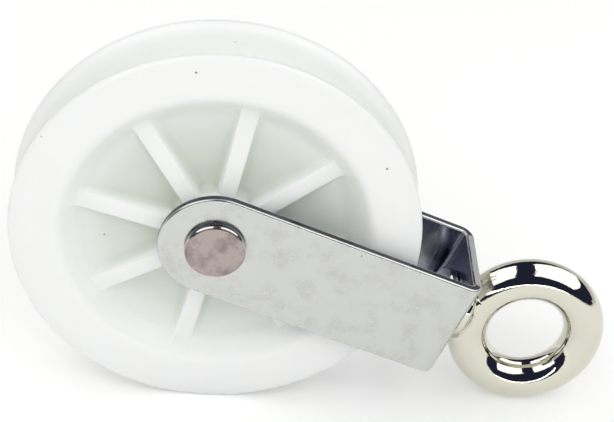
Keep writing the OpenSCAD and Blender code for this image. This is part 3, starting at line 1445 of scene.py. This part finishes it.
@dataclass
class Studio:
    """Pale floor, soft lamps, a dark room in front and above for the metal to show, and the camera.

    Attributes:
        azimuth: Camera's angle round the block, in degrees.
        elevation: Its angle above the floor.
        roll: Its roll.
        distance: Distance from the aim, in millimetres.
        focal: Focal length in pixels of the picture.
        aim: Aim from the axle, along X and up, in millimetres.
        floor_size: Side of the floor, in metres.
        floor_colour: Colour of the floor.
        room_radius: Radius of the dark room, in metres.
        room_over: Angles over the block that the room spans, from the front horizon, in degrees.
        room_aside: Angles to the sides that it spans.
        room_colour: Colour of the dark room.
        world_light: Strength of the light from all round.
        world_shine: Strength at which the metal shows that light.
        floor_glow: Share of white that the floor adds to the light on it where it is seen.
        softboxes: Lamps.
    """

    azimuth: float = -4.45
    elevation: float = 34.48
    roll: float = 5.77
    distance: float = 480.0
    focal: float = 1961.06
    aim: Span = (22.1, 2.82)
    floor_size: float = 8.0
    floor_colour: RGB = (0.90, 0.90, 0.895)
    room_radius: float = 3.0
    room_over: Span = (1.0, 154.0)
    room_aside: Span = (-85.0, 85.0)
    room_colour: RGB = (0.018, 0.020, 0.045)
    world_light: float = 0.30
    world_shine: float = 0.68
    floor_glow: float = 0.21
    softboxes: tuple[Softbox, ...] = (
        Softbox("softbox_left", (-0.58, 0.02, 0.80), (0.94, 1.64), power=4.5, front=1.7),
        Softbox("softbox_right", (0.66, 0.04, 0.76), (1.04, 1.64), power=4.0, front=1.7),
        Softbox("softbox_low", (0.05, -1.30, 0.16), (1.60, 0.11), power=1.0, front=4.0),
        Softbox("softbox_front", (0.05, -1.10, 0.90), (1.60, 1.20), power=9.0, front=0.0),
    )

    def camera(self) -> None:
        """Camera at the viewing angle, with its lens from the focal length in pixels."""
        az, el, roll = np.radians([self.azimuth, self.elevation, self.roll])
        back = Vector((np.sin(az) * np.cos(el), -np.cos(az) * np.cos(el), np.sin(el)))
        level = Vector((np.cos(az), np.sin(az), 0.0))
        upright = level.cross(-back)
        right = np.cos(roll) * level + np.sin(roll) * upright
        up = np.cos(roll) * upright - np.sin(roll) * level
        aim = Vector(AXLE) + Vector((self.aim[0], 0.0, self.aim[1])) * MM
        data = bpy.data.cameras.new("camera")
        data.sensor_fit = "HORIZONTAL"
        data.lens = self.focal * data.sensor_width / IMAGE_WIDTH
        data.clip_start, data.clip_end = 0.01, 50.0
        view = put("camera", data)
        turn = Matrix((right, up, back)).transposed().to_4x4()
        view.matrix_world = Matrix.Translation(aim + self.distance * MM * back) @ turn
        bpy.context.scene.camera = view

    def floor(self) -> None:
        """Flat pale floor that keeps the shadow; the glow that makes it white lights nothing."""
        half = self.floor_size / 2.0
        side = np.linspace(-half, half, 9)
        x, y = np.meshgrid(side, side, indexing="ij")
        shell = sheet(np.stack([x, y, np.full_like(x, CAD_BOX[0].z - FLOOR_GAP)], axis=-1))
        material, nodes = new_material("pale_floor")
        path = nodes.add("LightPath").outputs
        seen = nodes.math("MAXIMUM", path["Is Camera Ray"], path["Is Glossy Ray"])
        seen = nodes.math("MAXIMUM", seen, path["Is Transmission Ray"])
        paper = nodes.add("BsdfDiffuse", {"Color": colour(self.floor_colour)})
        glow = nodes.add("Emission", {"Strength": nodes.math("MULTIPLY", seen, self.floor_glow)})
        both = nodes.add("AddShader", {0: paper.outputs[0], 1: glow.outputs[0]})
        nodes.show(both)
        stage_mesh("floor", shell, material)

    def room(self) -> None:
        """Dark side of the studio, seen only in the metal: part of a sphere from the front horizon up
        and over to the back, at each angle over the block and each angle to its sides."""
        over, aside = np.meshgrid(
            np.radians(np.linspace(*self.room_over, 40)),
            np.radians(np.linspace(*self.room_aside, 40)),
            indexing="ij",
        )
        back, up = -np.cos(aside) * np.cos(over), np.cos(aside) * np.sin(over)
        points = np.stack([np.sin(aside), back, up], axis=-1)
        shown_in_metal("room", sheet(points * self.room_radius), self.room_colour, 1.0)

    def world(self) -> None:
        """Even pale light from all round, which the metal shows at a strength of its own."""
        world = bpy.data.worlds.new("studio")
        world.use_nodes = True
        nodes = Nodes(world.node_tree)
        path = nodes.add("LightPath").outputs
        shine = nodes.ramp(path["Is Glossy Ray"], 0.0, 1.0, self.world_light, self.world_shine)
        seen = nodes.math("MAXIMUM", path["Is Camera Ray"], path["Is Transmission Ray"])
        strength = nodes.math("MAXIMUM", shine, seen)
        light = nodes.add("Background", {"Color": colour((1.0, 1.0, 1.0)), "Strength": strength})
        nodes.show(light, "OutputWorld")
        bpy.context.scene.world = world

    def build(self) -> None:
        """Makes the whole studio."""
        self.camera()
        self.floor()
        self.room()
        self.world()
        for softbox in self.softboxes:
            softbox.build((CAD_BOX[0] + CAD_BOX[1]) / 2.0)
        bpy.context.scene.view_settings.view_transform = "Standard"


def main() -> None:
    """Builds every piece and the studio."""
    logging.basicConfig(level=logging.INFO, format="%(name)s %(message)s")
    effects = Effects(marks=marks_group(), lines=lines_group())
    turned_steel = TURNED_STEEL.build(effects)
    Sheave().build(Nylon().build(effects))
    # The first of these is the painted dark reflection, also used on the side of the pin's head.
    dark_reflection_and_filed_edges = [DARK_REFLECTION_STEEL.build(effects), PLATE_EDGE_STEEL.build(effects)]
    Strap().build(STRAP_STEEL.build(effects), INSIDE_SHADE_STEEL.build(effects), dark_reflection_and_filed_edges)
    AxlePin().build(PIN_STEEL.build(effects), turned_steel, dark_reflection_and_filed_edges[0])
    Eye().build(POLISHED_STEEL.build(effects), turned_steel)
    sleeve = frame["nodes"]["axle_sleeve"]
    sleeve.data.materials.clear()
    sleeve.data.materials.append(turned_steel)
    Studio().build()


if __name__ == "__main__":
    main()
